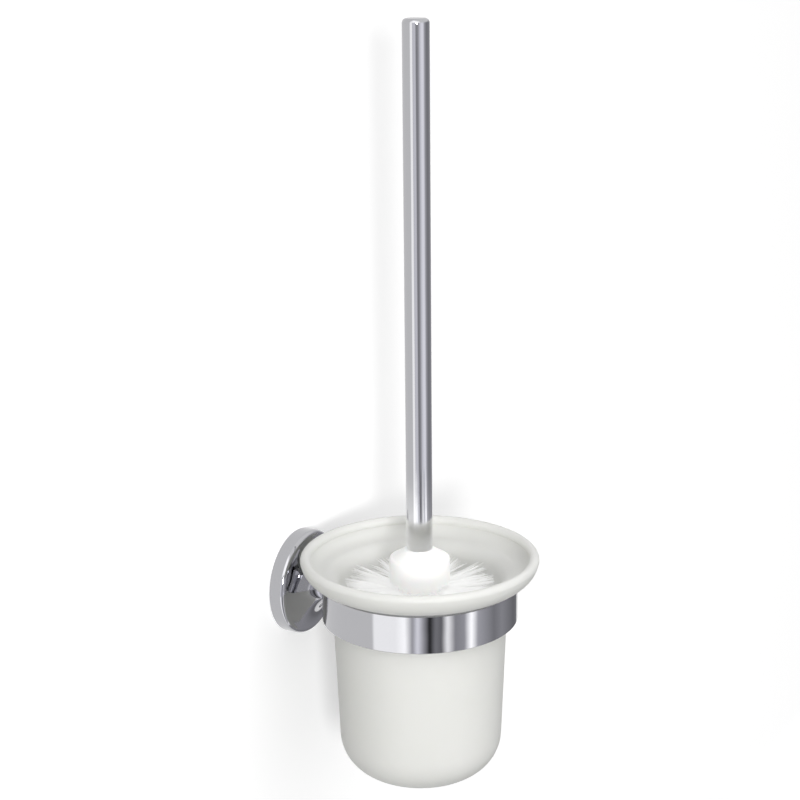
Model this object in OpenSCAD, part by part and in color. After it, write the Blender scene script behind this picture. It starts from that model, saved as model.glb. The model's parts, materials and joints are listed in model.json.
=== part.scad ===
// Wall-mounted toilet brush holder: a rosette and a ring carry a glass cup,
// and a brush with a tube handle stands in the cup.
// Origin: centre of the wall plate's back face. +Y points into the wall, +Z up.

/* [Wall plate] */
// Diameter of the plate screwed to the wall
plate_d = 42; // [38:1:60]
// Thickness of the wall plate
plate_t = 6; // [5:0.5:8]
// Distance between the two wall screw holes
plate_hole_spacing = 26; // [22:1:28]
// Diameter of the wall screw holes
plate_hole_d = 5.2; // [4:0.1:6]

/* [Rosette] */
// Width of the rim band that shows around the rosette
rosette_band = 5.5; // [5:0.1:9]
// Thickness of the rosette's rim around the wall plate
rosette_rim_t = 4.6; // [4:0.1:8]
// Radius of the rounded edge between the band and the face
rosette_edge_r = 2.5; // [0.8:0.1:3]
// Height of the hollow curve that sweeps from the rounded edge to the neck
bell_h = 10.5; // [8:0.5:12]
// Diameter of the neck
neck_d = 15; // [13:0.5:18]

/* [Post] */
// Diameter of the post between the neck and the ring
post_d = 11.5; // [10:0.5:12]
// Length of the post that shows
post_show = 4; // [2:0.5:20]
// Diameter of the post's spigot inside the neck
spigot_d = 9; // [8.5:0.1:10]
// Length of the post's spigot
spigot_len = 6.5; // [6:0.5:8]

/* [Ring] */
// Height of the ring's band
ring_h = 18.5; // [16:0.5:30]
// Distance from the post's axis down to the ring's lower edge
ring_drop = 6; // [6:0.5:10]
// Wall of the ring
ring_wall = 2.6; // [2.2:0.1:3]
// Wall of the clear liner inside the ring
liner_wall = 1.2; // [0.8:0.1:1.5]
// Thickness of the liner's flange on top of the ring
liner_flange_t = 0.8; // [0.6:0.1:1.5]

/* [Cup] */
// Outer diameter of the cup where it hangs in the ring
cup_d = 85; // [80:1:110]
// Depth of the cup below its shoulder
cup_depth = 99; // [80:1:130]
// How much the cup narrows on each side for each millimetre down
cup_taper = 0.04; // [0:0.005:0.08]
// Wall of the cup
cup_wall = 3.6; // [2.5:0.1:5]
// Thickness of the cup's floor
cup_floor_t = 5; // [4:0.1:8]
// Radius of the round edge under the cup
cup_corner_r = 20; // [12:1:26]
// Radius of the small hollow under the shoulder
shoulder_r = 3.2; // [2:0.1:4]
// Radius of the flared mouth in section
flare_r = 11.6; // [8:0.1:16]
// Radius of the rolled bead on the lip
lip_r = 2.4; // [2:0.1:3]
// How far the bead's centre lies below the flare's widest level
lip_drop = 1.6; // [0:0.1:3]

/* [Handle] */
// Outer diameter of the handle tube
handle_d = 12.5; // [11:0.1:16]
// Wall of the handle tube
handle_wall = 0.8; // [0.6:0.1:1.5]
// Length of the handle tube
handle_len = 252; // [180:0.5:320]
// Height of the end cap above the tube
cap_h = 2.6; // [1:0.1:4]

/* [Brush head] */
// Radius of the bristle head at its widest
head_r = 36; // [28:0.5:38]
// Radius of the core's barrel
core_r = 10.5; // [10:0.1:12]
// Length of the barrel below the collar, with its round end
barrel_len = 83; // [60:1:100]
// Height of the bristles below the barrel's round end
end_bristle_len = 9.7; // [6:0.1:14]
// Diameter of the collar
collar_d = 29; // [24:0.5:34]
// Height of the collar's straight side
collar_h = 12; // [8:0.5:16]
// Height of the collar's cone, from its top edge to the tube
collar_cone_h = 3.8; // [3:0.1:6]
// Radius of the collar's rounded top edge
collar_edge_r = 1.5; // [0.8:0.1:2.5]
// Depth of the handle's seat in the collar
handle_seat = 6; // [4:0.5:8]
// Diameter of a tuft at its root
tuft_root_d = 3; // [2.4:0.1:3.1]
// Tufts in each row
tufts_per_row = 12; // [8:1:12]
// Diameter of the threaded stud
stud_d = 6; // [5:1:6]
// Length of the threaded stud
stud_len = 24; // [18:1:26]

/* [Hidden] */
$fn = 72;

// clearances
wall_gap = 0.4;      // rosette to the wall
plate_clear = 0.4;   // plate to the rosette's recess, all round
front_gap = 0.6;     // plate's front to the rosette's inner face
fit_clear = 0.05;    // turned pieces in their bores, on the radius
screw_clear = 0.25;  // screws in clearance holes, on the radius
liner_clear = 0.1;   // liner in the ring, on the radius
cup_clear = 0.6;     // cup in the liner, on the radius
seat_clear = 0.2;    // cup's shoulder above the liner's flange
bristle_clear = 1.2; // bristle tips to the cup's wall
floor_clear = 0.3;   // bristle tips above the cup's floor
tuft_clear = 0.1;    // tuft roots in their holes, on the radius
tuft_gap = 0.7;      // between the tips of neighbouring rows
grub_tip_clear = 0.1; // grub screw's cone to the sides of the plate's groove
cut = 1;             // how far a cutting shape runs past a surface

// small pieces
plate_groove = 1.2;
grub_d = 4;
grub_key = 2;
grub_sink = 0.3;
web_t = 2;
pocket_d = 18;
screw_d = 5;
post_screw_head_d = 9;
post_screw_head_h = 2.8;
post_screw_chamfer = 0.6;
washer_d = 10;
washer_t = 1;
screw_gap = 0.4;
hex_key = 3;
hex_depth = 1.6;
csk_head_d = 8.4;
csk_head_h = 1.9;
csk_sink = 0.3;
band_chamfer = 0.4;
liner_lift = 1;
liner_bevel = 2.2;
cap_plug_len = 8;
cap_band = 0.4;
insert_len = 14;
stud_chamfer = 0.5;
tuft_hole_depth = 4;
anchor_t = 0.4;
anchor_w = 2.4;
anchor_h = 0.9;
anchor_gap = 0.05;
collar_lip = 1;
tuft_straight = 1;
tuft_bevel = 1.1;
row_top_margin = 5;
rows = 10;
end_angle = 40;
end_count = 6;

// depths from the wall, all towards -Y
rosette_r = plate_d / 2 + plate_clear + rosette_rim_t;
face_y = wall_gap + rosette_band + rosette_edge_r;
neck_r = neck_d / 2;
neck_y = face_y + bell_h;
bell_x = rosette_r - rosette_edge_r;
bell_r = (pow(bell_x - neck_r, 2) + bell_h * bell_h) / (2 * bell_h);
recess_y = plate_t + front_gap;
spigot_y = neck_y - spigot_len;
web_y = spigot_y - web_t;
grub_y = plate_t / 2;
screw_bite = (neck_y + post_show - spigot_y) / 2 - screw_gap;

// ring, liner and cup radii
cup_r = cup_d / 2;
liner_ir = cup_r + cup_clear;
liner_or = liner_ir + liner_wall;
ring_ir = liner_or + liner_clear;
ring_or = ring_ir + ring_wall;
reach = neck_y + post_show + ring_or;

// heights
ring_z = -ring_drop;
ring_top = ring_z + ring_h;
shoulder_z = ring_top + liner_flange_t + seat_clear;
side_top_z = shoulder_z - shoulder_r;
flare_z = shoulder_z + flare_r;
flare_x = cup_r + shoulder_r;
lip_z = flare_z - lip_drop;
lip_x = flare_x + sqrt(flare_r * flare_r - lip_drop * lip_drop) - lip_r;
cup_z = shoulder_z - cup_depth;
floor_z = cup_z + cup_floor_t;

// the brush stands on the cup's floor
core_z = floor_z + floor_clear + end_bristle_len;
dome_z = core_z + core_r;
collar_z = core_z + barrel_len;
neck_top_z = collar_z + collar_h + collar_cone_h;
tube_z = neck_top_z - handle_seat;
tube_top = tube_z + handle_len;
handle_r = handle_d / 2;
tube_ir = handle_r - handle_wall;
row_pitch = (barrel_len - row_top_margin - core_r) / (rows - 1);
tip_r = (row_pitch - tuft_gap) / 2;
root_r = tuft_root_d / 2;

// radius of the cup's side, wall_in inside its outer face, at height z
function side_r(z, wall_in) = cup_r - wall_in - cup_taper * (side_top_z - z);

// centre of the round that joins the side to a floor at height z0
function corner_x(z0, r, wall_in) =
    let(a = atan(cup_taper)) side_r(z0 + r - r * sin(a), wall_in) - r * cos(a);

// radius of the cup's hollow at height z, its lower round included
function hollow_r(z) =
    let(r = cup_corner_r - cup_wall, dz = floor_z + r - z)
    dz <= 0 ? side_r(z, cup_wall)
            : corner_x(floor_z, r, cup_wall) + sqrt(max(0, r * r - dz * dz));

function row_z(i) = collar_z - row_top_margin - i * row_pitch;
function row_tip(i) = min(head_r, hollow_r(row_z(i) - tip_r) - bristle_clear);
end_tip = (dome_z - floor_z - floor_clear - tip_r * cos(end_angle)) / sin(end_angle);
drop_tip = dome_z - floor_z - floor_clear;

module chrome() { color([0.80, 0.81, 0.84]) children(); }
module steel() { color([0.62, 0.63, 0.65]) children(); }
module white_plastic() { color([0.97, 0.97, 0.96]) children(); }

// a turned piece whose axis lies along Y: its height runs from the wall outwards
module turned_y() { rotate([90, 0, 0]) rotate_extrude() children(); }

// a cylinder along -Y, from depth y0 to depth y1
module rod_y(r, y0, y1, sides = 0) {
    rotate([90, 0, 0]) translate([0, 0, y0]) cylinder(r = r, h = y1 - y0, $fn = sides > 0 ? sides : $fn);
}

module wall_plate() {
    chrome() difference() {
        turned_y() difference() {
            square([plate_d / 2, plate_t]);
            translate([plate_d / 2, grub_y]) rotate(45) square(plate_groove * sqrt(2), center = true);
        }
        for (side = [-1, 1]) translate([side * plate_hole_spacing / 2, 0, 0])
            rod_y(plate_hole_d / 2, -cut, plate_t + cut);
    }
}

module rosette_section() {
    difference() {
        union() {
            translate([0, wall_gap]) square([rosette_r, rosette_band]);
            translate([bell_x, wall_gap + rosette_band]) circle(rosette_edge_r);
            translate([0, wall_gap]) difference() {
                square([bell_x, neck_y - wall_gap]);
                translate([bell_x, face_y - wall_gap + bell_r]) circle(bell_r, $fn = 180);
            }
        }
        translate([-cut, -cut]) square([plate_d / 2 + plate_clear + cut, recess_y + cut]);
        translate([-cut, 0]) square([pocket_d / 2 + cut, web_y]);
        translate([-cut, 0]) square([screw_d / 2 + screw_clear + cut, neck_y]);
        translate([-cut, spigot_y]) square([spigot_d / 2 + fit_clear + cut, neck_y]);
    }
}

module rosette() {
    chrome() difference() {
        turned_y() rosette_section();
        translate([0, -grub_y, -rosette_r - cut]) cylinder(d = grub_d + 2 * fit_clear, h = rosette_r);
    }
}

module grub_screw() {
    tip = plate_d / 2 - plate_groove / 2;
    tip_flat = plate_groove / 2 - grub_tip_clear;
    top = rosette_r - grub_sink;
    steel() translate([0, -grub_y, 0]) difference() {
        mirror([0, 0, 1]) rotate_extrude() polygon([[0, tip], [tip_flat, tip],
            [grub_d / 2, tip + grub_d / 2 - tip_flat], [grub_d / 2, top], [0, top]]);
        translate([0, 0, -top - cut]) cylinder(d = grub_key / cos(30), h = grub_key + cut, $fn = 6);
    }
}

module post_screw() {
    head_y = web_y - washer_t;
    back_y = head_y - post_screw_head_h;
    steel() difference() {
        union() {
            turned_y() difference() {
                translate([0, back_y]) square([post_screw_head_d / 2, post_screw_head_h]);
                translate([post_screw_head_d / 2, back_y]) rotate(45)
                    square(post_screw_chamfer * sqrt(2), center = true);
            }
            rod_y(screw_d / 2, head_y - cut, spigot_y + screw_bite - fit_clear);
        }
        rod_y(hex_key / cos(30) / 2, back_y - cut, back_y + hex_depth, 6);
    }
}

module post_washer() {
    steel() difference() {
        rod_y(washer_d / 2, web_y - washer_t, web_y);
        rod_y(screw_d / 2 + screw_clear, 0, neck_y);
    }
}

module arm_post() {
    ring_face = reach - ring_or;
    chrome() difference() {
        union() {
            rod_y(spigot_d / 2, spigot_y, neck_y + cut);
            rod_y(post_d / 2, neck_y, ring_face + post_d);
        }
        translate([0, -reach, -post_d]) cylinder(r = ring_or + fit_clear, h = 2 * post_d, $fn = 180);
        rod_y(screw_d / 2 + fit_clear, spigot_y - cut, spigot_y + screw_bite);
        rod_y(screw_d / 2 + fit_clear, ring_face - screw_bite, ring_face + cut);
    }
}

// the countersunk screw's outline, on the post's axis
module ring_screw_body(grow, head_up) {
    head_y = reach - ring_ir - csk_sink;
    turned_y() polygon([[0, reach - ring_or - screw_bite + fit_clear], [screw_d / 2 + grow,
        reach - ring_or - screw_bite + fit_clear], [screw_d / 2 + grow, head_y - csk_head_h],
        [csk_head_d / 2 + grow, head_y], [csk_head_d / 2 + grow, head_y + head_up], [0, head_y + head_up]]);
}

module ring_screw() {
    head_y = reach - ring_ir - csk_sink;
    steel() difference() {
        ring_screw_body(0, 0);
        rod_y(hex_key / cos(30) / 2, head_y - hex_depth, head_y + cut, 6);
    }
}

module holder_ring() {
    chrome() difference() {
        translate([0, -reach, ring_z]) rotate_extrude($fn = 180) polygon([[ring_ir, 0],
            [ring_or - band_chamfer, 0], [ring_or, band_chamfer], [ring_or, ring_h - band_chamfer],
            [ring_or - band_chamfer, ring_h], [ring_ir, ring_h]]);
        ring_screw_body(screw_clear / 2, 2 * cut);
    }
}

module ring_liner() {
    seat_x = min(flare_x, ring_or - cut);
    flange_top = ring_top + liner_flange_t;
    color([0.93, 0.95, 0.95]) translate([0, -reach, 0]) rotate_extrude($fn = 180) polygon([
        [liner_ir, ring_z + liner_lift], [liner_or, ring_z + liner_lift], [liner_or, ring_top],
        [ring_or - band_chamfer, ring_top], [ring_or - band_chamfer, flange_top],
        [seat_x, flange_top], [liner_ir, flange_top - liner_bevel]]);
}

// half section of the cup, wall_in inside its outer face, with its floor at z0
module cup_section(wall_in, z0) {
    r = cup_corner_r - wall_in;
    hollow = shoulder_r + wall_in;
    cx = corner_x(z0, r, wall_in);
    tangent_z = z0 + r - r * sin(atan(cup_taper));
    polygon([[0, z0], [cx, z0], [side_r(tangent_z, wall_in), tangent_z],
        [cup_r - wall_in, side_top_z], [cup_r - wall_in, lip_z], [0, lip_z]]);
    translate([cx, z0 + r]) circle(r, $fn = 96);
    difference() {
        translate([cup_r - wall_in - cut, side_top_z])
            square([flare_x - cup_r + wall_in + cut, lip_z - side_top_z]);
        translate([flare_x, side_top_z]) circle(hollow);
    }
    intersection() {
        translate([flare_x, flare_z]) circle(flare_r - wall_in, $fn = 96);
        translate([flare_x - cut, 0]) square([2 * flare_r, lip_z]);
    }
}

module glass_cup() {
    color([0.90, 0.93, 0.91, 0.85]) translate([0, -reach, 0]) rotate_extrude($fn = 180)
        intersection() {
            translate([0, cup_z - cut]) square([cup_r + 3 * flare_r, cup_depth + 3 * flare_r]);
            union() {
                difference() {
                    cup_section(0, cup_z);
                    cup_section(cup_wall, floor_z);
                }
                translate([lip_x, lip_z]) circle(lip_r);
            }
        }
}

module on_cup_axis(z = 0) { translate([0, -reach, z]) children(); }

module handle_tube() {
    chrome() on_cup_axis(tube_z) difference() {
        cylinder(r = handle_r, h = handle_len);
        translate([0, 0, -cut]) cylinder(r = tube_ir, h = handle_len + 2 * cut);
    }
}

module handle_end_cap() {
    edge_r = cap_h - cap_band;
    chrome() on_cup_axis(tube_top) {
        translate([0, 0, -cap_plug_len]) cylinder(r = tube_ir - fit_clear, h = cap_plug_len + cap_band);
        rotate_extrude() {
            square([handle_r, cap_band]);
            square([handle_r - edge_r, cap_h]);
            translate([handle_r - edge_r, cap_band]) intersection() {
                circle(edge_r);
                square(edge_r);
            }
        }
    }
}

module thread_insert() {
    color([0.78, 0.66, 0.38]) on_cup_axis(tube_z) difference() {
        cylinder(r = tube_ir - fit_clear, h = insert_len);
        translate([0, 0, -cut]) cylinder(r = stud_d / 2 + fit_clear, h = insert_len + 2 * cut);
    }
}

module head_stud() {
    r = stud_d / 2;
    steel() on_cup_axis(tube_z - stud_len / 2) rotate_extrude() polygon([[0, 0], [r - stud_chamfer, 0],
        [r, stud_chamfer], [r, stud_len - stud_chamfer], [r - stud_chamfer, stud_len], [0, stud_len]]);
}

// places children on each tuft's axis of row i: +Z of the children points outwards
module around_row(i) {
    for (k = [0 : tufts_per_row - 1])
        on_cup_axis(row_z(i)) rotate([0, 0, (k + (i % 2) / 2) * 360 / tufts_per_row])
            rotate([0, 90, 0]) children();
}

module around_end() {
    for (k = [0 : end_count - 1])
        on_cup_axis(dome_z) rotate([0, 0, k * 360 / end_count]) rotate([0, 90 + end_angle, 0]) children();
}

module below_end() {
    on_cup_axis(dome_z) rotate([180, 0, 0]) children();
}

// one tuft from its hole to its tip, both measured from the core's axis
module tuft(tip) {
    root = core_r - tuft_hole_depth + anchor_h + 2 * anchor_gap;
    flare_from = core_r + tuft_straight;
    rotate_extrude($fn = 24) polygon([[0, root], [root_r, root], [root_r, flare_from],
        [tip_r, tip - tuft_bevel], [tip_r - tuft_bevel, tip], [0, tip]]);
}

module tuft_hole() {
    translate([0, 0, core_r - tuft_hole_depth])
        cylinder(r = root_r + tuft_clear, h = tuft_hole_depth + cut, $fn = 24);
}

module tuft_anchor() {
    translate([-anchor_t / 2, -anchor_w / 2, core_r - tuft_hole_depth + anchor_gap])
        cube([anchor_t, anchor_w, anchor_h]);
}

module tuft_row(i) { white_plastic() around_row(i) tuft(row_tip(i)); }

module end_tufts() {
    white_plastic() {
        around_end() tuft(end_tip);
        below_end() tuft(drop_tip);
    }
}

module tuft_anchors() {
    steel() {
        for (i = [0 : rows - 1]) around_row(i) tuft_anchor();
        around_end() tuft_anchor();
        below_end() tuft_anchor();
    }
}

module brush_core() {
    edge_x = collar_d / 2 - collar_edge_r;
    white_plastic() difference() {
        on_cup_axis() {
            translate([0, 0, dome_z]) {
                cylinder(r = core_r, h = collar_z - dome_z + cut);
                sphere(r = core_r);
            }
            translate([0, 0, collar_z]) rotate_extrude() {
                square([collar_d / 2, collar_h - collar_edge_r]);
                translate([edge_x, collar_h - collar_edge_r]) circle(collar_edge_r);
                polygon([[0, 0], [edge_x, 0], [edge_x, collar_h],
                    [handle_r + collar_lip, collar_h + collar_cone_h], [0, collar_h + collar_cone_h]]);
            }
        }
        on_cup_axis(tube_z) cylinder(r = handle_r + fit_clear, h = handle_seat + cut);
        on_cup_axis(tube_z - stud_len / 2 - cut) cylinder(r = stud_d / 2 + fit_clear, h = stud_len);
        for (i = [0 : rows - 1]) around_row(i) tuft_hole();
        around_end() tuft_hole();
        below_end() tuft_hole();
    }
}

wall_plate();
rosette();
grub_screw();
post_screw();
post_washer();
arm_post();
ring_screw();
holder_ring();
ring_liner();
glass_cup();
handle_tube();
handle_end_cap();
thread_insert();
head_stud();
brush_core();
tuft_anchors();
end_tufts();
tuft_row(0);  // tuft_row_01
tuft_row(1);  // tuft_row_02
tuft_row(2);  // tuft_row_03
tuft_row(3);  // tuft_row_04
tuft_row(4);  // tuft_row_05
tuft_row(5);  // tuft_row_06
tuft_row(6);  // tuft_row_07
tuft_row(7);  // tuft_row_08
tuft_row(8);  // tuft_row_09
tuft_row(9);  // tuft_row_10
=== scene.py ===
# %% [markdown]
# # A wall-mounted toilet brush holder
# The real object is a chrome rosette on the wall, a chrome ring on a short
# post, a frosted glass cup that hangs in the ring, and a white brush on a
# chrome tube. All of it could be drawn in Blender. Here the hard parts are
# already designed at their true size, so the script loads them as a fixed
# frame and adds what a design program leaves out: the bristles, the
# finishes, the light and the camera.

# %% Load the frame
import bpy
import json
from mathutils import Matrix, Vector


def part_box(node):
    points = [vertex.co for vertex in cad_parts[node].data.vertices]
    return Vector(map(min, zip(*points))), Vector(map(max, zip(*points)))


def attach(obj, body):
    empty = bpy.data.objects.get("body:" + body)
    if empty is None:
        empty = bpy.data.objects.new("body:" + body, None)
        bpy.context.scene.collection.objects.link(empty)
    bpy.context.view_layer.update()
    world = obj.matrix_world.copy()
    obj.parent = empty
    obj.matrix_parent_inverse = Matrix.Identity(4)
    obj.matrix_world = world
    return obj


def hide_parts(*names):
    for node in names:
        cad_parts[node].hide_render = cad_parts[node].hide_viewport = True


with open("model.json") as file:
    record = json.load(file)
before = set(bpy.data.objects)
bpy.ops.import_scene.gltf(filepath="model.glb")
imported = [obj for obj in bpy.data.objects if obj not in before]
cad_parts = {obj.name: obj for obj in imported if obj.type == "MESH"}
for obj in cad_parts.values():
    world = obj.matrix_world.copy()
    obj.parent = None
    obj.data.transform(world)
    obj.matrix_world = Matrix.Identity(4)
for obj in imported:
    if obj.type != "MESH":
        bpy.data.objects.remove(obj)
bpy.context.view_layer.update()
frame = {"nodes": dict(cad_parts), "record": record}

# %% [markdown]
# ## Where things are
# Things could be placed by numbers read off the design. Here every place is
# measured from the loaded pieces, above all from the cup's axis and its
# mouth, so the script still fits when the design is changed.

# %% Where things are
import json
import math
import random
import bpy
from mathutils import Matrix, Vector

MM = 0.001
LIP_ROUNDING = 0.8 * MM
nodes = frame["nodes"]
cup_low, cup_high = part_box("glass_cup")
axis_x = (cup_low[0] + cup_high[0]) / 2
axis_y = (cup_low[1] + cup_high[1]) / 2
mouth_z = cup_high[2] - LIP_ROUNDING
print("cup axis at", round(axis_x, 4), round(axis_y, 4), "mouth at", round(mouth_z, 4))

# %% [markdown]
# ## A clean selection
# Blender's operators act on all that is selected, and the loaded pieces
# arrive selected. Nothing may stay so before the first new shape is made,
# or an operator would reshape the design with it.

# %% A clean selection


def deselect_all():
    for thing in bpy.context.selected_objects:
        thing.select_set(False)


deselect_all()
print("selected now:", len(bpy.context.selected_objects))

# %% [markdown]
# ## The camera
# A product like this is shown from the left and a little above, so that the
# rosette, the open mouth and the bristles are all seen. A camera could be
# placed by eye. Here it stands at a distance, a turn and a height from the
# cup's own axis, so it stays right when the design changes, and a long lens
# keeps the upright lines nearly parallel.

# %% Camera
CAMERA_TURN = math.radians(-61)
CAMERA_AWAY = 0.8168
CAMERA_ABOVE_MOUTH = 0.3062
CAMERA_YAW = CAMERA_TURN + math.radians(0.605)
CAMERA_PITCH = math.radians(15.68)
CAMERA_ROLL = math.radians(-0.58)
CAMERA_LENS = 81.8
CAMERA_SENSOR = 36
CAMERA_CLIP = 0.01


def around_cup(turn, away, height):
    """A point at a turn from straight in front of the wall, seen from the cup."""
    return Vector((axis_x + away * math.sin(turn), axis_y - away * math.cos(turn), height))


bpy.ops.object.camera_add()
camera = bpy.context.object
camera.name = "camera"
camera.data.lens = CAMERA_LENS
camera.data.sensor_width = CAMERA_SENSOR
camera.data.clip_start = CAMERA_CLIP
camera_place = around_cup(CAMERA_TURN, CAMERA_AWAY, mouth_z + CAMERA_ABOVE_MOUTH)
camera.matrix_world = (Matrix.Translation(camera_place)
                       @ Matrix.Rotation(CAMERA_YAW, 4, "Z")
                       @ Matrix.Rotation(math.pi / 2 - CAMERA_PITCH, 4, "X")
                       @ Matrix.Rotation(CAMERA_ROLL, 4, "Z"))
bpy.context.scene.camera = camera
bpy.context.scene.view_settings.view_transform = "Standard"
print("camera at", [round(value, 3) for value in camera_place])

# %% [markdown]
# ## Writing shaders as sums
# A material is a tree of nodes, and its maths is usually wired by hand, one
# Math node at a time. A small class that wraps a socket lets Python's own
# signs add those nodes, so that `1 - mask * 0.3` reads as it would on paper.
# A second class adds every other kind of node in one way.

# %% A socket that can be added and multiplied


class Value:
    def __init__(self, tree, socket):
        self.tree = tree
        self.socket = socket

    def join(self, operation, first, second):
        math_node = self.tree.nodes.new("ShaderNodeMath")
        math_node.operation = operation
        for slot_number, entry in enumerate((first, second)):
            if isinstance(entry, Value):
                self.tree.links.new(entry.socket, math_node.inputs[slot_number])
            else:
                math_node.inputs[slot_number].default_value = entry
        return Value(self.tree, math_node.outputs[0])

    def __add__(self, other):
        return self.join("ADD", self, other)

    def __radd__(self, other):
        return self.join("ADD", other, self)

    def __sub__(self, other):
        return self.join("SUBTRACT", self, other)

    def __rsub__(self, other):
        return self.join("SUBTRACT", other, self)

    def __mul__(self, other):
        return self.join("MULTIPLY", self, other)

    def __rmul__(self, other):
        return self.join("MULTIPLY", other, self)


print("a value answers to", sum(name.startswith("__r") for name in vars(Value)),
      "signs, from either side")

# %% One way to add a node: its type, its settings, its sockets


class Shader:
    MIX_FACTOR, MIX_FIRST, MIX_SECOND, MIX_RESULT = 0, 6, 7, 2

    def __init__(self, owner):
        owner.use_nodes = True
        self.tree = owner.node_tree
        self.tree.nodes.clear()

    def add(self, kind, settings=None, sockets=None):
        node = self.tree.nodes.new("ShaderNode" + kind)
        for name, setting in (settings or {}).items():
            if name == "stops":
                self.set_stops(node.color_ramp, setting)
            else:
                setattr(node, name, setting)
        for name, entry in (sockets or {}).items():
            if isinstance(entry, Value):
                self.tree.links.new(entry.socket, node.inputs[name])
            else:
                node.inputs[name].default_value = entry
        return node

    def out(self, node, name=0):
        return Value(self.tree, node.outputs[name])

    def set_stops(self, ramp, stops):
        while len(ramp.elements) < len(stops):
            ramp.elements.new(1.0)
        for element, (position, colour) in zip(ramp.elements, stops):
            element.position = position
            element.color = (*colour, 1)

    def place(self):
        """Object coordinates, which stay with the piece as it moves."""
        return self.out(self.add("TexCoord"), "Object")

    def noise(self, scale, detail=3.0):
        texture = self.add("TexNoise", sockets={"Vector": self.place(), "Scale": scale,
                                                "Detail": detail})
        return self.out(texture, "Fac")

    def bump(self, height, strength, distance):
        return self.out(self.add("Bump", sockets={
            "Height": height, "Strength": strength, "Distance": distance}), "Normal")

    def slope(self, value, start, end, before=0.0, after=1.0, curve="SMOOTHSTEP"):
        """One number before start, another after end, and a slope between."""
        return self.out(self.add("MapRange", {"interpolation_type": curve}, {
            "Value": value, "From Min": start, "From Max": end, "To Min": before, "To Max": after}))

    def tint(self, factor, first, second):
        """A colour between two, by a factor that varies."""
        mixer = self.add("Mix", {"data_type": "RGBA"}, {
            self.MIX_FACTOR: factor, self.MIX_FIRST: first, self.MIX_SECOND: second})
        return self.out(mixer, self.MIX_RESULT)

    def mix(self, factor, first, second):
        node = self.add("MixShader", sockets={0: factor})
        self.tree.links.new(first.outputs[0], node.inputs[1])
        self.tree.links.new(second.outputs[0], node.inputs[2])
        return node

    def finish(self, surface, output="OutputMaterial"):
        self.tree.links.new(surface.outputs[0], self.add(output).inputs["Surface"])


print("a shader can", [name for name in vars(Shader) if name.islower() and name[0] != "_"])

# %% [markdown]
# ## The studio
# A wall-mounted thing needs a wall to cast its shadow on. A backdrop could be
# two planes. Here one plane is extruded upwards and its fold is rounded into
# a cove, as in a photographer's studio, so no line shows where the floor
# ends. The wall is clear from behind, so that the back can be looked at too.

# %% A sheet with a cove
WALL_WIDTH = 5.0
WALL_TOP = 2.2
FLOOR_DROP = 0.62
FLOOR_DEPTH = 1.1
COVE = 0.18
COVE_STEPS = 24
TINY = 1e-6


def select_edges(piece, wanted):
    """Select, in edit mode, the edges whose two ends satisfy a test."""
    bpy.ops.object.mode_set(mode="EDIT")
    bpy.ops.mesh.select_mode(type="EDGE")
    bpy.ops.mesh.select_all(action="DESELECT")
    bpy.ops.object.mode_set(mode="OBJECT")
    for edge in piece.data.edges:
        edge.select = wanted(*[piece.data.vertices[index].co for index in edge.vertices])
    bpy.ops.object.mode_set(mode="EDIT")


bpy.ops.mesh.primitive_plane_add(size=1, location=(0, -FLOOR_DEPTH / 2, -FLOOR_DROP))
studio = bpy.context.object
studio.name = "studio"
studio.scale = (WALL_WIDTH, FLOOR_DEPTH, 1)
bpy.ops.object.transform_apply(location=True, rotation=True, scale=True)
select_edges(studio, lambda a, b: abs(a.y) < TINY and abs(b.y) < TINY)
bpy.ops.mesh.extrude_region_move(TRANSFORM_OT_translate={"value": (0, 0, WALL_TOP + FLOOR_DROP)})
select_edges(studio, lambda a, b: abs(a.y) + abs(b.y) < TINY and abs(a.z - b.z) < TINY and a.z < 0)
bpy.ops.mesh.bevel(offset=COVE, segments=COVE_STEPS, affect="EDGES")
bpy.ops.object.mode_set(mode="OBJECT")
bpy.ops.object.shade_smooth()
print("studio has", len(studio.data.polygons), "faces")

# %% [markdown]
# A camera sees the wall as lit white paint. Chrome would mirror that paint
# too brightly, and white things beside it would glow from its bounce, so the
# paint answers each kind of ray with a strength of its own. This is a
# studio's trick with flags and screens, done with the Light Path node. The
# floor lets mirrors look through to the cards that are set up beyond it.

# %% Paint
WHITE = (1, 1, 1, 1)
PAINT = (0.9, 0.9, 0.9, 1)
PAINT_ROUGHNESS = 0.9
PAINT_GLOW = 0.28
PAINT_BOUNCE = 0.3
ROLLER_MARKS = 60.0
ROLLER_STRENGTH = 0.05
ROLLER_RELIEF = 0.5 * MM


def studio_paint(name, in_mirrors):
    """White paint that is clear from behind; mirrors see what a function gives."""
    paint = bpy.data.materials.new(name)
    shader = Shader(paint)
    lit = shader.add("BsdfPrincipled", sockets={
        "Base Color": PAINT, "Roughness": PAINT_ROUGHNESS, "Specular IOR Level": 0.0,
        "Emission Color": WHITE, "Emission Strength": PAINT_GLOW,
        "Normal": shader.bump(shader.noise(ROLLER_MARKS), ROLLER_STRENGTH, ROLLER_RELIEF)})
    bounce = shader.add("Emission", sockets={"Strength": PAINT_BOUNCE})
    path = shader.add("LightPath")
    unseen = shader.mix(shader.out(path, "Is Diffuse Ray"), in_mirrors(shader), bounce)
    front = shader.mix(shader.out(path, "Is Camera Ray"), unseen, lit)
    behind = shader.out(shader.add("NewGeometry"), "Backfacing")
    shader.finish(shader.mix(behind, front, shader.add("BsdfTransparent")))
    return paint


print("paint glows by", PAINT_GLOW, "and bounces", PAINT_BOUNCE)

# %% What mirrors see of the wall and the floor
WALL_IN_MIRRORS = 0.86
LEFT_OF_WALL_IN_MIRRORS = 1.5
LEFT_STARTS = (-0.2, -0.17)
UPRIGHT = 0.999


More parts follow.
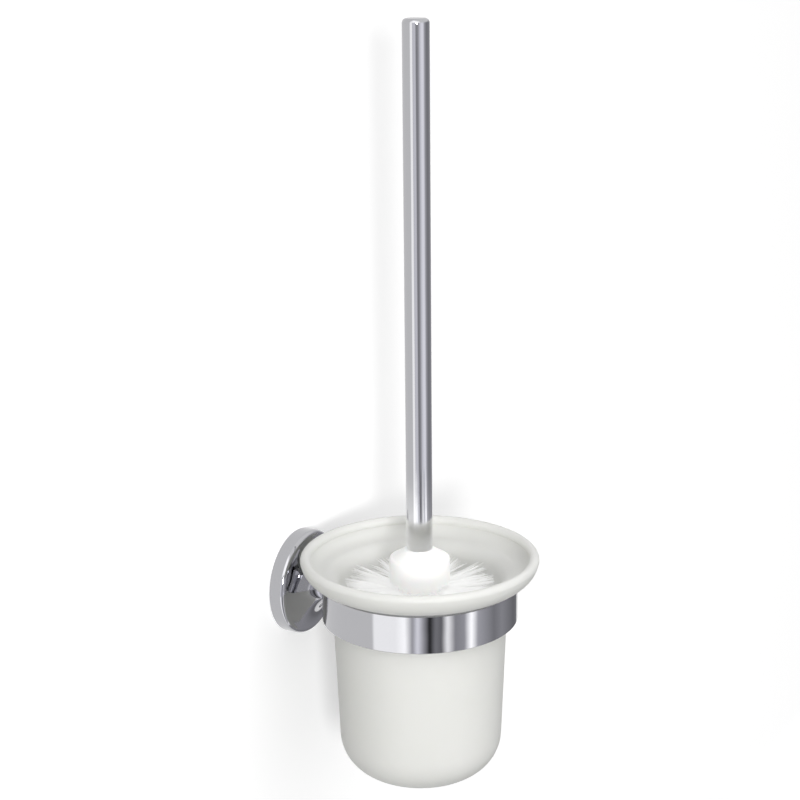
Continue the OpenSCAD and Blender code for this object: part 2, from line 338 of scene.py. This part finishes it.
def wall_in_mirrors(shader):
    across = shader.out(shader.add("SeparateXYZ", sockets={0: shader.place()}), "X")
    # In mirrors the wall's left part glows brighter, a painted pool of light.
    level = shader.slope(across, *LEFT_STARTS, LEFT_OF_WALL_IN_MIRRORS, WALL_IN_MIRRORS)
    return shader.add("Emission", sockets={"Strength": level})


def floor_in_mirrors(shader):
    return shader.add("BsdfTransparent")


studio.data.materials.append(studio_paint("wall_paint", wall_in_mirrors))
studio.data.materials.append(studio_paint("floor_paint", floor_in_mirrors))
for face in studio.data.polygons:
    face.material_index = 0 if face.normal.y < -UPRIGHT else 1
print("painted", [material.name for material in studio.data.materials])

# %% [markdown]
# ## The room that the chrome mirrors
# Polished chrome has hardly a colour of its own: it shows the room. A room
# could be modelled, or a panorama loaded. Here the world's shader draws a
# ring of upright cards round the horizon, white like soft boxes or dark like
# curtains, as a photographer sets them up to give metal its stripes. A card
# is a compass turn, in degrees from straight in front of the wall, and a
# brightness. A lower ring of cards faces the holder's ring, which is seen
# from above, and a higher one faces the tube, which is seen nearly level.

# %% Cards round the horizon
LOW_CARDS = [
    (-120, 1.5), (-90, 1.5), (-79, 1.8), (-70, 0.5), (-64, 1.2), (-57, 0.5), (-50, 0.0),
    (-43, 0.3), (-36, 0.2), (-29, 1.5), (-20, 0.4), (-8, 0.5), (1, 2.0), (10, 0.6),
    (35, 0.3), (50, 0.4), (80, 0.2),
]
HIGH_CARDS = [
    (-180, 1.0), (-100, 0.8), (-80, 0.9), (-68, 0.9), (-60, 0.3), (-45, 0.4), (-30, 0.9),
    (-15, 1.2), (-2, 1.2), (15, 0.5), (35, 0.3), (50, 0.3), (80, 0.4), (180, 1.0),
]
BRIGHTEST = 2.0
COOL = 1.07
COOL_BELOW = 1.3
FULL_TURN = 360


def card_stop(turn, level):
    """A ramp's stop: ramps hold 0 to 1, so levels are parts of the brightest."""
    share = level / BRIGHTEST
    blue = share * (COOL if level < COOL_BELOW else 1.0)
    return turn / FULL_TURN + 0.5, (share, share, blue)


print("cards set up:", len(LOW_CARDS), "low and", len(HIGH_CARDS), "high")

# %% The world that they are drawn on
world = bpy.data.worlds.new("room")
bpy.context.scene.world = world
room = Shader(world)
direction = room.add("SeparateXYZ", sockets={0: room.out(room.add("TexCoord"), "Generated")})
east, north, up = [room.out(direction, index) for index in range(3)]
compass = east.join("ARCTAN2", east, 0 - north) * (1 / (2 * math.pi)) + 0.5
low_ring, high_ring = [
    room.out(room.add("ValToRGB", {"stops": [card_stop(*card) for card in cards]}, {"Fac": compass}))
    for cards in (LOW_CARDS, HIGH_CARDS)]
print("the ramps hold", [len(ring.socket.node.color_ramp.elements) for ring in (low_ring, high_ring)])

# %% [markdown]
# Above the cards there is a pale ceiling and, high on the left, one bright
# soft box, which puts the white glint on the rosette's rounded edge. Matt
# things don't mirror the room, so they are given a plainer one: brighter from
# above than from below, and dimmer on the right. The camera sees plain white.

# %% Ceiling and soft box, for mirrors
CARDS_MEET = (-0.355, -0.29)
CEILING_STARTS = (0.12, 0.5)
CEILING = 0.95
SOFT_BOX = 1.8
SOFT_BOX_LEFT_OF = (-0.5, -0.25)
SOFT_BOX_ABOVE = (0.3, 0.45)


def grey(level):
    return (level / BRIGHTEST, level / BRIGHTEST, level / BRIGHTEST, 1)


cards = room.tint(room.slope(up, *CARDS_MEET), low_ring, high_ring)
with_ceiling = room.tint(room.slope(up, *CEILING_STARTS), cards, grey(CEILING))
box_mask = room.slope(east, *SOFT_BOX_LEFT_OF, 1.0, 0.0) * room.slope(up, *SOFT_BOX_ABOVE)
in_mirrors = room.add("Background", sockets={
    "Color": room.tint(box_mask, with_ceiling, grey(SOFT_BOX)), "Strength": BRIGHTEST})
print("mirrors see a ceiling of", CEILING, "and a soft box of", SOFT_BOX)

# %% Soft light, for matt things
SOFT_LIGHT = (0.0, 1.45)
SOFT_LIGHT_RISES = (-0.6, 0.8)
TOP_LIGHT = 1.0
TOP_LIGHT_RISES = (0.4, 0.9)
RIGHT_DIMMED_TO = 0.65
RIGHT_STARTS = (-0.2, 1.0)
BACKDROP = (0.97, 0.97, 0.98, 1)

from_above = (room.slope(up, *SOFT_LIGHT_RISES, *SOFT_LIGHT, curve="LINEAR")
              + room.slope(up, *TOP_LIGHT_RISES, 0.0, TOP_LIGHT))
soft_level = from_above * room.slope(east, *RIGHT_STARTS, 1.0, RIGHT_DIMMED_TO, curve="LINEAR")
on_matt = room.add("Background", sockets={"Strength": soft_level})
behind_all = room.add("Background", sockets={"Color": BACKDROP})
path = room.add("LightPath")
room.finish(room.mix(room.out(path, "Is Camera Ray"),
                     room.mix(room.out(path, "Is Diffuse Ray"), in_mirrors, on_matt),
                     behind_all), "OutputWorld")
print("the room has", len(world.node_tree.nodes), "nodes")

# %% [markdown]
# ## The lamp
# One soft lamp stands just to the camera's right and gives the tube and the
# cup their faint shadow on the wall. A sun would draw it hard. A disk of
# about half a metre, three metres off, softens its edge.

# %% Lamp
LAMP_TURN = math.radians(-52.5)
LAMP_AWAY = 3.0
LAMP_HEIGHT = 0.55
LAMP_SIZE = 0.6
LAMP_POWER = 43.0
LAMP_AIMS_AT = 0.08

lamp_place = around_cup(LAMP_TURN, LAMP_AWAY, LAMP_HEIGHT)
bpy.ops.object.light_add(type="AREA", location=lamp_place)
lamp = bpy.context.object
lamp.name = "lamp"
lamp.data.shape = "DISK"
lamp.data.size = LAMP_SIZE
lamp.data.energy = LAMP_POWER
aim = Vector((axis_x, axis_y, LAMP_AIMS_AT)) - lamp_place
lamp.rotation_euler = aim.to_track_quat("-Z", "Y").to_euler()
print("lamp at", [round(value, 3) for value in lamp_place])

# %% [markdown]
# ## Finishes
# Each finish is one Principled shader. It could be a flat colour, but no real
# surface is even: noise on the piece's own coordinates varies its colour and
# its roughness and raises a slight bump. One helper makes them all, and each
# finish only says what its sockets get.

# %% One helper for every finish
FINISHES = {}


def make_finish(name, sockets_of):
    material = bpy.data.materials.new(name)
    shader = Shader(material)
    shader.finish(shader.add("BsdfPrincipled", sockets=sockets_of(shader)))
    FINISHES[name] = material
    print(name, "has", len(material.node_tree.nodes), "nodes")


# %% [markdown]
# ### Polished chrome
# The rosette, post, ring, tube and cap are plated brass, polished to a
# mirror. A perfect mirror looks computed. Real plating is a little hazy in
# places, has fine polishing streaks, and waves slightly, which makes the
# reflected cards run unevenly, so three noises of different sizes do that.

# %% Polished chrome
CHROME = (0.53, 0.53, 0.55, 1)
CHROME_DULL = (0.50, 0.50, 0.525, 1)
HAZE, HAZE_ROUGHENS = 35.0, 0.05
STREAKS, STREAKS_ROUGHEN = 900.0, 0.03
CHROME_SMOOTHEST = 0.02
WAVES, WAVE_STRENGTH, WAVE_RELIEF = 55.0, 0.25, 0.4 * MM


def polished_chrome(shader):
    haze = shader.noise(HAZE)
    streak = shader.noise(STREAKS, detail=2.0)
    wave = shader.noise(WAVES, detail=1.0)
    return {"Base Color": shader.tint(streak * haze, CHROME, CHROME_DULL), "Metallic": 1.0,
            "Roughness": haze * HAZE_ROUGHENS + streak * STREAKS_ROUGHEN + CHROME_SMOOTHEST,
            "Normal": shader.bump(wave, WAVE_STRENGTH, WAVE_RELIEF)}


make_finish("polished_chrome", polished_chrome)

# %% [markdown]
# ### The foot of the tube
# Where the tube's lower end stands among the white bristles and the glass,
# its chrome is painted paler and made a little rougher: a painted reflection.
# It could be a second material with a hard edge. Here the same chrome is mixed
# by height towards a paler one, and noise breaks the edge of the painted part.

# %% Chrome painted paler at its foot, a painted reflection
PALE_REFLECTION = (0.92, 0.92, 0.93, 1)
PALE_REFLECTION_UP_TO = 46 * MM
PALE_REFLECTION_WAVERS = 8 * MM
PALE_REFLECTION_EDGE = 120.0
PALE_REFLECTION_ROUGHENS = 0.06
collar_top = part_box("brush_core")[1][2]


def chrome_with_painted_reflection(shader):
    height = shader.out(shader.add("SeparateXYZ", sockets={0: shader.place()}), "Z")
    above = height - collar_top + shader.noise(PALE_REFLECTION_EDGE) * PALE_REFLECTION_WAVERS
    # Paler towards the foot, a painted reflection; rougher there as well.
    painted_reflection = shader.slope(above, 0.0, PALE_REFLECTION_UP_TO, 1.0, 0.0)
    sockets = polished_chrome(shader)
    return {**sockets, "Base Color": shader.tint(painted_reflection, CHROME, PALE_REFLECTION),
            "Roughness": sockets["Roughness"] + painted_reflection * PALE_REFLECTION_ROUGHENS}


make_finish("chrome_with_painted_reflection", chrome_with_painted_reflection)

# %% [markdown]
# ### Steel and brass inside
# Screws, washer, stud and staples are plain steel, and the tube's threaded
# insert is turned brass. They hardly show, but the model can be taken apart.
# Fine noise stands for the tool marks that plain metal keeps.

# %% Steel and brass
STEEL = ((0.52, 0.53, 0.54, 1), (0.60, 0.61, 0.62, 1))
STEEL_MARKS, STEEL_SMOOTHEST, STEEL_ROUGHENS = 700.0, 0.22, 0.2
BRASS = ((0.70, 0.54, 0.25, 1), (0.78, 0.62, 0.31, 1))
BRASS_MARKS, BRASS_SMOOTHEST, BRASS_ROUGHENS = 500.0, 0.2, 0.15
TOOL_MARK_STRENGTH, TOOL_MARK_RELIEF = 0.2, 0.1 * MM


def plain_metal(colours, marks, smoothest, roughens):
    """A finish for a metal that keeps its tool marks."""
    def sockets_of(shader):
        grain = shader.noise(marks)
        return {"Base Color": shader.tint(grain, *colours), "Metallic": 1.0,
                "Roughness": grain * roughens + smoothest,
                "Normal": shader.bump(grain, TOOL_MARK_STRENGTH, TOOL_MARK_RELIEF)}
    return sockets_of


make_finish("plain_steel", plain_metal(STEEL, STEEL_MARKS, STEEL_SMOOTHEST, STEEL_ROUGHENS))
make_finish("brass", plain_metal(BRASS, BRASS_MARKS, BRASS_SMOOTHEST, BRASS_ROUGHENS))

# %% [markdown]
# ### Frosted glass
# The cup is thick glass, etched matt all over, so it glows softly rather than
# showing what is behind it. Clear glass with a rough surface could do it, but
# it is slow and grainy to render. Light that scatters under the skin, with a
# little transmission, gives the same milky look. A fine bump is the etching,
# and a slow noise makes the faint clouds of uneven frosting.

# %% Frosted glass
GLASS_THIN = (0.755, 0.76, 0.725, 1)
GLASS_THICK = (0.80, 0.80, 0.77, 1)
GLASS_IOR = 1.45
GLASS_CLOUDS = 28.0
ETCH, ETCH_SMOOTHEST, ETCH_ROUGHENS = 1500.0, 0.38, 0.15
ETCH_STRENGTH, ETCH_RELIEF = 0.25, 0.1 * MM
LIGHT_THROUGH = 0.12
LIGHT_UNDER_SKIN, SKIN_DEPTH, SKIN_TINT = 0.8, 8 * MM, (1.0, 1.0, 0.95)


def frosted_glass(shader):
    etch = shader.noise(ETCH, detail=4.0)
    cloud = shader.noise(GLASS_CLOUDS)
    return {"Base Color": shader.tint(cloud, GLASS_THIN, GLASS_THICK),
            "Roughness": etch * ETCH_ROUGHENS + ETCH_SMOOTHEST,
            "Transmission Weight": LIGHT_THROUGH, "IOR": GLASS_IOR,
            "Subsurface Weight": LIGHT_UNDER_SKIN, "Subsurface Radius": SKIN_TINT,
            "Subsurface Scale": SKIN_DEPTH,
            "Normal": shader.bump(etch, ETCH_STRENGTH, ETCH_RELIEF)}


make_finish("frosted_glass", frosted_glass)

# %% [markdown]
# ### Plastics
# The brush's core and collar are moulded in white plastic, a little shiny.
# The sleeve that keeps the glass off the ring is clear plastic. The bristles
# are nylon, which passes light on from filament to filament, so a thick tuft
# stays bright inside. Following all that light would take long, and a little
# glow of its own stands for it.

# %% White plastic
MOULDED_WHITE = ((0.85, 0.85, 0.84, 1), (0.88, 0.88, 0.87, 1))
MOULDED_GRAIN, MOULDED_SMOOTHEST, MOULDED_ROUGHENS = 400.0, 0.28, 0.12
MOULDED_STRENGTH, MOULDED_RELIEF = 0.1, 0.1 * MM
PLASTIC_UNDER_SKIN, PLASTIC_SKIN_DEPTH = 0.2, 2 * MM
# The core and collar glow a little, a painted light that keeps them white.
PLASTIC_GLOW = 0.16


def white_plastic(shader):
    grain = shader.noise(MOULDED_GRAIN)
    return {"Base Color": shader.tint(grain, *MOULDED_WHITE),
            "Roughness": grain * MOULDED_ROUGHENS + MOULDED_SMOOTHEST,
            "Subsurface Weight": PLASTIC_UNDER_SKIN, "Subsurface Scale": PLASTIC_SKIN_DEPTH,
            "Emission Color": WHITE, "Emission Strength": PLASTIC_GLOW,
            "Normal": shader.bump(grain, MOULDED_STRENGTH, MOULDED_RELIEF)}


make_finish("white_plastic", white_plastic)

# %% Clear liner
LINER = ((0.91, 0.93, 0.93, 1), (0.95, 0.97, 0.97, 1))
LINER_HAZE, LINER_SMOOTHEST, LINER_ROUGHENS = 120.0, 0.12, 0.1
LINER_STRENGTH, LINER_RELIEF = 0.1, 0.2 * MM
LINER_CLEARNESS, LINER_IOR = 0.7, 1.49


def clear_liner(shader):
    haze = shader.noise(LINER_HAZE)
    return {"Base Color": shader.tint(haze, *LINER),
            "Roughness": haze * LINER_ROUGHENS + LINER_SMOOTHEST,
            "Transmission Weight": LINER_CLEARNESS, "IOR": LINER_IOR,
            "Normal": shader.bump(haze, LINER_STRENGTH, LINER_RELIEF)}


make_finish("clear_liner", clear_liner)

# %% Nylon
NYLON = ((0.74, 0.74, 0.73, 1), (0.84, 0.84, 0.84, 1))
NYLON_SHADES, NYLON_SMOOTHEST, NYLON_ROUGHENS = 90.0, 0.35, 0.15
NYLON_GLOW = 0.27


def nylon(shader):
    shade = shader.noise(NYLON_SHADES)
    return {"Base Color": shader.tint(shade, *NYLON),
            "Roughness": shade * NYLON_ROUGHENS + NYLON_SMOOTHEST,
            "Emission Color": WHITE, "Emission Strength": NYLON_GLOW}


make_finish("bristle", nylon)

# %% [markdown]
# ### Giving the finishes out
# The design says what each piece is made of, so the finishes could be put on
# by hand or by that list. The list is used, and only the tube differs from
# it, because its chrome is painted paler at its foot, a painted reflection.

# %% Give the finishes out
for subpart in frame["record"]["subparts"]:
    mesh = nodes[subpart["node"]].data
    mesh.materials.clear()
    mesh.materials.append(FINISHES[subpart["material_slot"]])
# The tube gets the chrome that is painted paler at its foot, a painted reflection.
nodes["handle_tube"].data.materials[0] = FINISHES["chrome_with_painted_reflection"]
print("finishes given to", len(nodes), "pieces")

# %% [markdown]
# ## The bristles
# A real tuft is some dozens of nylon filaments, folded double round a staple
# and pulled into a hole in the core, so that they leave it packed and then
# fan out. Hair particles could grow them. Real meshes are used instead, so
# that the bristles stay with the brush wherever it goes: one filament is
# modelled by hand, copied into a tuft, and the tufts are copied into rows.
# A filament is a slim cylinder of four sides, cut in four along its length,
# curved a little more at each cut, and thinned at its tip.

# %% One filament
FILAMENT_R = 0.17 * MM
FILAMENT_LEN = 28 * MM
FILAMENT_CURL = 2.0 * MM
FILAMENT_SIDES = 4
FILAMENT_CUTS = 3
TIP_THINNED_TO = 0.55

bpy.ops.mesh.primitive_cylinder_add(vertices=FILAMENT_SIDES, radius=FILAMENT_R,
                                    depth=FILAMENT_LEN, location=(0, 0, FILAMENT_LEN / 2))
filament = bpy.context.object
filament.name = "filament"
bpy.ops.object.transform_apply(location=True, rotation=True, scale=True)
select_edges(filament, lambda a, b: abs(a.z - b.z) > FILAMENT_LEN / 2)
bpy.ops.mesh.subdivide(number_cuts=FILAMENT_CUTS)
for step in range(1, FILAMENT_CUTS + 2):
    share = step / (FILAMENT_CUTS + 1)
    level = share * FILAMENT_LEN
    select_edges(filament, lambda a, b: abs(a.z - level) < TINY and abs(b.z - level) < TINY)
    bpy.ops.transform.translate(value=(FILAMENT_CURL * share ** 2, 0, 0))
bpy.ops.transform.resize(value=(TIP_THINNED_TO, TIP_THINNED_TO, 1),
                         center_override=(FILAMENT_CURL, 0, FILAMENT_LEN))
bpy.ops.object.mode_set(mode="OBJECT")
bpy.ops.object.shade_smooth()
print("one filament has", len(filament.data.polygons), "faces")

# %% [markdown]
# A tuft is laid out like the seeds of a sunflower, which fills a round hole
# evenly: each filament is a golden turn on from the last. The further out a
# filament starts, the more it leans, and each one is stretched so that its
# tip lies on the round outline that the brush is trimmed to. Four tufts,
# each with its own random leans, are enough that no repeat is seen.

# %% Copying and joining


def copy_of(piece, where):
    twin = piece.copy()
    twin.data = piece.data.copy()
    bpy.context.collection.objects.link(twin)
    twin.matrix_world = where
    return twin


def joined(pieces, name):
    """Join copies into one piece, with its place in its mesh."""
    deselect_all()
    for piece in pieces:
        piece.select_set(True)
    bpy.context.view_layer.objects.active = pieces[0]
    bpy.ops.object.join()
    whole = bpy.context.object
    whole.name = name
    bpy.ops.object.transform_apply(location=True, rotation=True, scale=True)
    deselect_all()
    return whole


print("a copy has a mesh of its own:", filament.data.users == 1)

# %% How a tuft is laid out
FILAMENTS = 96
ROOT_R = 1.25 * MM
ROOT_AT = 8.0 * MM
LEAN = math.radians(13)
STRAY = 1.2
LEAN_SPREAD = (0.6, 1.15)
CURL_SPREAD = (0.2, 1.5)
LEAST_CURL = 0.2
TURN_SPREAD = 0.5
UNEVEN_TRIM = 0.9 * MM
GOLDEN_TURN = math.pi * (3 - math.sqrt(5))
HEAD_R = 36.0 * MM
TUFT_KINDS = 4
SEED = 7
draw = random.Random(SEED)
print("a tuft of", FILAMENTS, "filaments, trimmed to", round(HEAD_R / MM), "mm from the axis")

# %% Grow the tufts


def grow_tuft(number):
    filaments = []
    for k in range(FILAMENTS):
        out = math.sqrt((k + 0.5) / FILAMENTS)
        turn = k * GOLDEN_TURN
        lean = LEAN * out * draw.uniform(*LEAN_SPREAD) + math.radians(draw.uniform(-STRAY, STRAY))
        curl = out * draw.uniform(*CURL_SPREAD)
        side = (ROOT_R * out + FILAMENT_LEN * math.sin(lean) + curl * FILAMENT_CURL) * math.sin(turn)
        tip = math.sqrt(HEAD_R ** 2 - side ** 2) - draw.uniform(0.0, UNEVEN_TRIM)
        rise = FILAMENT_LEN * math.cos(lean) - curl * FILAMENT_CURL * math.sin(lean)
        root = (ROOT_R * out * math.cos(turn), ROOT_R * out * math.sin(turn), ROOT_AT)
        where = (Matrix.Translation(root)
                 @ Matrix.Rotation(turn + draw.uniform(-TURN_SPREAD, TURN_SPREAD), 4, "Z")
                 @ Matrix.Rotation(lean, 4, "Y")
                 @ Matrix.Diagonal((max(curl, LEAST_CURL), 1, (tip - ROOT_AT) / rise, 1)))
        filaments.append(copy_of(filament, where))
    return joined(filaments, f"tuft_{number}")


tufts = [grow_tuft(number) for number in range(TUFT_KINDS)]
print("a tuft has", len(tufts[0].data.polygons), "faces, its tips reach",
      round(max(v.co.z for v in tufts[0].data.vertices) / MM, 2), "mm")

# %% [markdown]
# The core has ten rings of twelve holes, and every other ring is turned by
# half a step, so that the tufts stand in each other's gaps. The design holds
# each ring of tufts as plain tapered solids. A row of grown tufts takes its
# height and its reach from those, and then stands in for them. It is one
# piece that rides on the brush.

# %% What a row takes from the design
tuft_rows = sorted(name for name in nodes if name.startswith("tuft_row_"))


def tip_reach(node):
    """How far a row's plain tufts reach from the cup's axis."""
    return max(math.hypot(v.co.x - axis_x, v.co.y - axis_y) for v in nodes[node].data.vertices)


print("the rows reach", [round(tip_reach(node) / MM, 1) for node in tuft_rows], "mm")

# %% Aiming a tuft and finishing a row
TALL_SQUASH_POWER = 0.3


def aimed(turn, dip, height, reach, squash):
    """Place a tuft: turned round the axis, dipped below level, cut to its reach."""
    shorten = (reach - ROOT_AT) / (HEAD_R - ROOT_AT)
    return (Matrix.Translation((axis_x, axis_y, height))
            @ Matrix.Rotation(turn, 4, "Z")
            @ Matrix.Rotation(math.pi / 2 + dip, 4, "Y")
            @ Matrix.Diagonal((squash, squash ** TALL_SQUASH_POWER, shorten, 1))
            @ Matrix.Translation((0, 0, ROOT_AT * (1 - shorten) / shorten)))


def finish_row(copies, node):
    row = joined(copies, node + "_filaments")
    row.data.materials.clear()
    row.data.materials.append(FINISHES["bristle"])
    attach(row, "brush")
    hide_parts(node)
    return row


print("a row rides on the brush in the slot", FINISHES["bristle"].name)

# %% Ten rows of tufts
TUFTS_PER_ROW = 12
ROW_SQUASH = 0.72

face_total = 0
for number, node in enumerate(tuft_rows):
    low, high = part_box(node)
    reach = min(tip_reach(node), HEAD_R)
    copies = []
    for k in range(TUFTS_PER_ROW):
        turn = (k + (number % 2) / 2) * 2 * math.pi / TUFTS_PER_ROW
        copies.append(copy_of(tufts[draw.randrange(TUFT_KINDS)],
                              aimed(turn, 0, (low[2] + high[2]) / 2, reach, ROW_SQUASH)))
    face_total += len(finish_row(copies, node).data.polygons)
print(len(tuft_rows), "rows have", face_total, "faces")

# %% [markdown]
# The round end of the core carries seven more tufts, six that slant down and
# one that points straight down. There is little room between them and the
# cup's floor, so they are slimmer and shorter, and end just clear of it.

# %% The tufts on the round end
END_TUFTS = 6
END_DIP = math.radians(40)
END_SQUASH = 0.36
CORE_R = 10.5 * MM
FLOOR_CLEAR = 0.3 * MM
TUFT_HALF_WIDTH = 2.6 * MM
dome_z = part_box("brush_core")[0][2] + CORE_R
down_reach = dome_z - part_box("end_tufts")[0][2] - FLOOR_CLEAR
slant_reach = (down_reach - TUFT_HALF_WIDTH) / math.sin(END_DIP)
copies = [copy_of(tufts[k % TUFT_KINDS],
                  aimed(k * 2 * math.pi / END_TUFTS, END_DIP, dome_z, slant_reach, END_SQUASH))
          for k in range(END_TUFTS)]
copies.append(copy_of(tufts[0], aimed(0, math.pi / 2, dome_z, down_reach, END_SQUASH)))
finish_row(copies, "end_tufts")
for spare in [filament] + tufts:
    bpy.data.objects.remove(spare)
print("end tufts reach", round(slant_reach / MM, 1), "and", round(down_reach / MM, 1), "mm")
